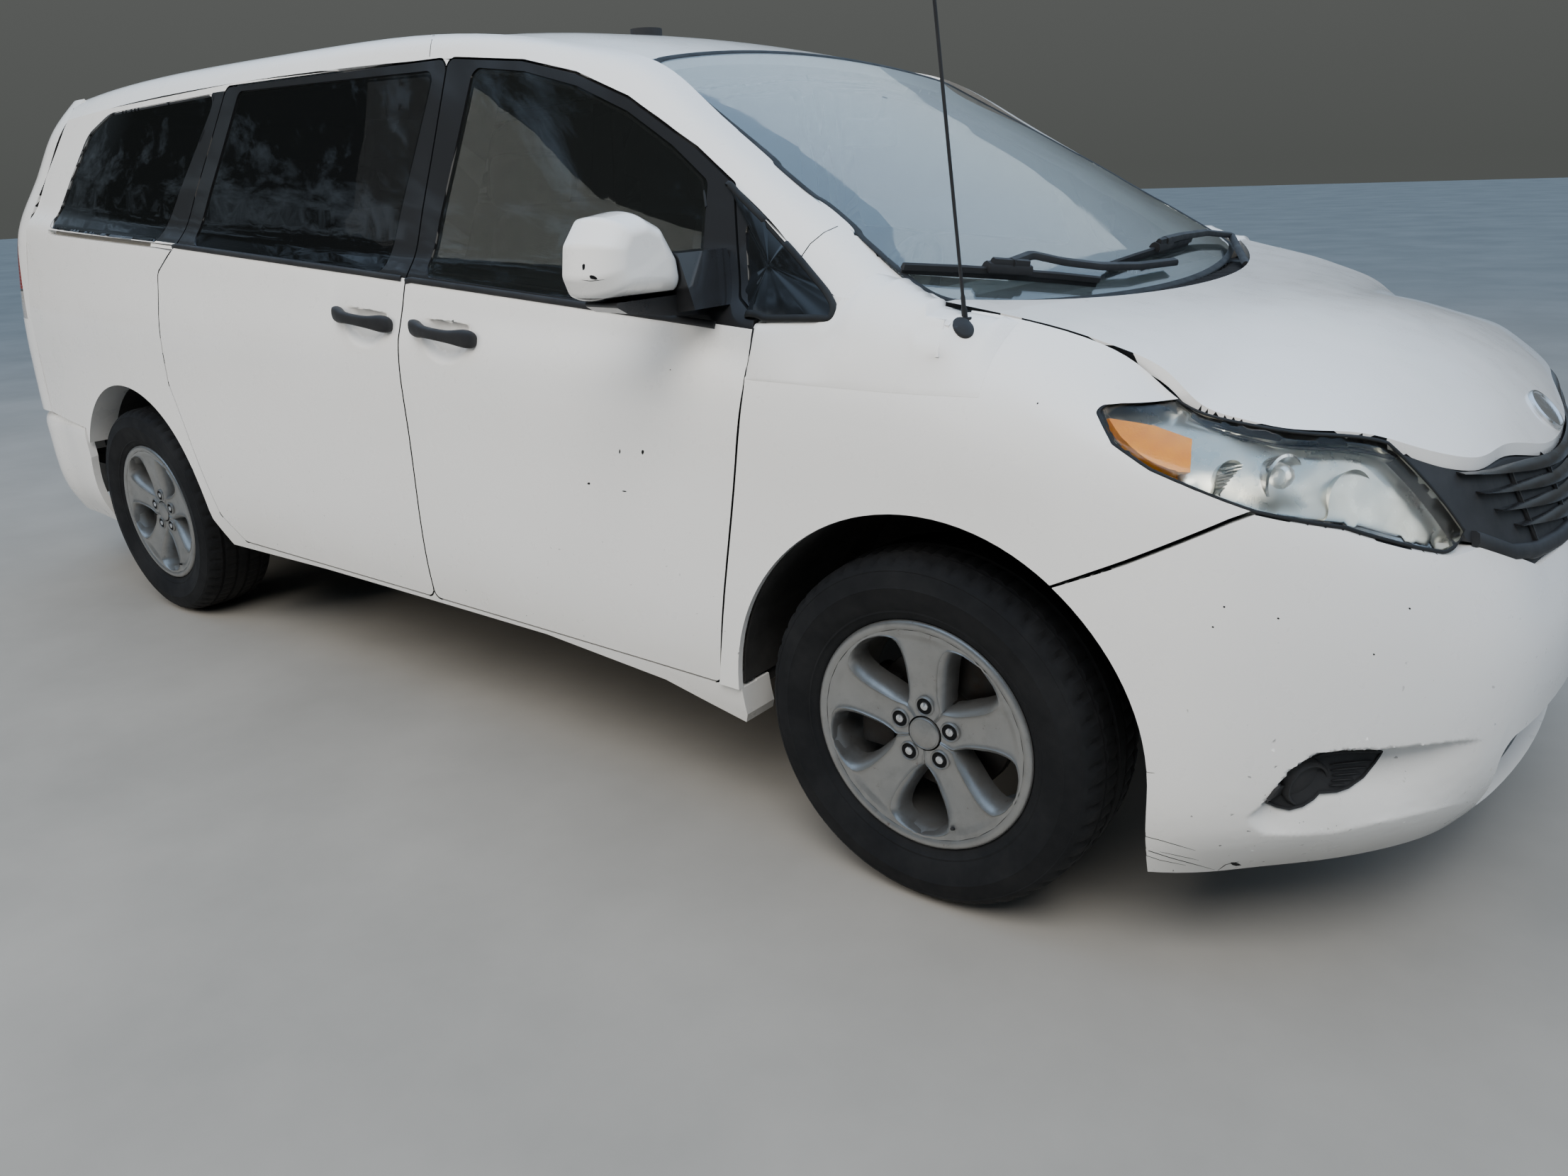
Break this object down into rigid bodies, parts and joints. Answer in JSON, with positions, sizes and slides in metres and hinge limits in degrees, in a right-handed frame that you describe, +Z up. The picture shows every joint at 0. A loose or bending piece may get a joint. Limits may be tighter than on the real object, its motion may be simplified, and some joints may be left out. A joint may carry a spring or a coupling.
{
  "type": "minivan",
  "caption": "White five-door minivan with sliding side doors, black window frames, alloy wheels, a roof spoiler and a whip antenna.",
  "frame": {"origin": "middle of the length and width, on the ground", "axes": "+X towards the nose, +Y to the vehicle's left, +Z up"},
  "size_m": [5.0875, 2.4268, 1.7679],
  "materials": {
    "white_paint": "gloss",
    "chassis_paint": "matte",
    "black_plastic": "satin",
    "cabin_plastic": "matte",
    "seat_fabric": "matte",
    "glass": "gloss",
    "lamp_lens": "gloss",
    "tail_lens": "gloss",
    "rim_alloy": "satin",
    "cast_aluminium": "matte",
    "cast_metal": "matte",
    "steel": "satin",
    "tyre_rubber": "matte"
  },
  "bodies": {
    "body": {"underbody": "chassis_paint", "side_frame_right": "white_paint", "side_frame_left": "white_paint", "rear_corners": "white_paint", "roof_panel": "white_paint", "front_fenders": "white_paint", "front_bumper": "white_paint", "rear_bumper": "white_paint", "grille": "black_plastic", "headlamps": "lamp_lens", "tail_lamps": "tail_lens", "windshield": "glass", "side_glass": "glass", "sliding_doors": "white_paint", "cowl_panel": "black_plastic", "wipers": "black_plastic", "engine_block": "cast_metal", "radiator": "cast_aluminium", "front_subframe": "chassis_paint", "rear_axle": "chassis_paint", "exhaust": "steel", "fuel_tank": "black_plastic", "dashboard": "cabin_plastic", "front_seats": "seat_fabric", "rear_seats": "seat_fabric", "antenna": "black_plastic"},
    "hood_lid": {"hood": "white_paint"},
    "tailgate_leaf": {"tailgate": "white_paint", "tailgate_glass": "glass"},
    "fuel_flap": {"fuel_lid": "white_paint"},
    "steering": {"steering_wheel": "cabin_plastic"},
    "front_door_right_leaf": {"front_door_right": "white_paint", "front_door_glass_right": "glass", "door_mirror_right": "black_plastic"},
    "knuckle_right_body": {"knuckle_right": "cast_metal"},
    "wheel_front_right": {"rim_front_right": "rim_alloy", "tyre_front_right": "tyre_rubber"},
    "wheel_rear_right": {"rim_rear_right": "rim_alloy", "tyre_rear_right": "tyre_rubber"},
    "front_door_left_leaf": {"front_door_left": "white_paint", "front_door_glass_left": "glass", "door_mirror_left": "black_plastic"},
    "knuckle_left_body": {"knuckle_left": "cast_metal"},
    "wheel_front_left": {"rim_front_left": "rim_alloy", "tyre_front_left": "tyre_rubber"},
    "wheel_rear_left": {"rim_rear_left": "rim_alloy", "tyre_rear_left": "tyre_rubber"}
  },
  "joints": [
    {"name": "steer_right", "type": "hinge", "parent": "body", "child": "knuckle_right_body", "pos_m": [1.5825, -0.79, 0.215], "axis": [0, 0.241, 0.9705], "range_deg": [-33, 33]},
    {"name": "spin_front_right", "type": "hinge", "parent": "knuckle_right_body", "child": "wheel_front_right", "pos_m": [1.5825, -0.86, 0.352], "axis": [0, 1, 0], "continuous": true},
    {"name": "spin_rear_right", "type": "hinge", "parent": "body", "child": "wheel_rear_right", "pos_m": [-1.4475, -0.86, 0.352], "axis": [0, 1, 0], "continuous": true},
    {"name": "front_door_hinge_right", "type": "hinge", "parent": "body", "child": "front_door_right_leaf", "pos_m": [1.19, -0.98, 0.8], "axis": [0, 0, 1], "range_deg": [0, 68]},
    {"name": "steer_left", "type": "hinge", "parent": "body", "child": "knuckle_left_body", "pos_m": [1.5825, 0.79, 0.215], "axis": [0, -0.241, 0.9705], "range_deg": [-33, 33]},
    {"name": "spin_front_left", "type": "hinge", "parent": "knuckle_left_body", "child": "wheel_front_left", "pos_m": [1.5825, 0.86, 0.352], "axis": [0, 1, 0], "continuous": true},
    {"name": "spin_rear_left", "type": "hinge", "parent": "body", "child": "wheel_rear_left", "pos_m": [-1.4475, 0.86, 0.352], "axis": [0, 1, 0], "continuous": true},
    {"name": "front_door_hinge_left", "type": "hinge", "parent": "body", "child": "front_door_left_leaf", "pos_m": [1.19, 0.98, 0.8], "axis": [0, 0, -1], "range_deg": [0, 68]},
    {"name": "hood_hinge", "type": "hinge", "parent": "body", "child": "hood_lid", "pos_m": [1.59, 0, 1.128], "axis": [0, -1, 0], "range_deg": [0, 50]},
    {"name": "tailgate_hinge", "type": "hinge", "parent": "body", "child": "tailgate_leaf", "pos_m": [-1.952, 0, 1.712], "axis": [0, 1, 0], "range_deg": [0, 85]},
    {"name": "fuel_flap_hinge", "type": "hinge", "parent": "body", "child": "fuel_flap", "pos_m": [-1.0985, 0.986, 0.98], "axis": [0, 0, -1], "range_deg": [0, 90]},
    {"name": "steering_wheel_turn", "type": "hinge", "parent": "body", "child": "steering", "pos_m": [0.7, 0.4, 1], "axis": [-0.922, 0, 0.3872], "range_deg": [-495, 495]}
  ],
  "couplings": [
    {"joint": "steer_left", "follows": "steer_right", "ratio": 1},
    {"joint": "steering_wheel_turn", "follows": "steer_right", "ratio": 15}
  ]
}
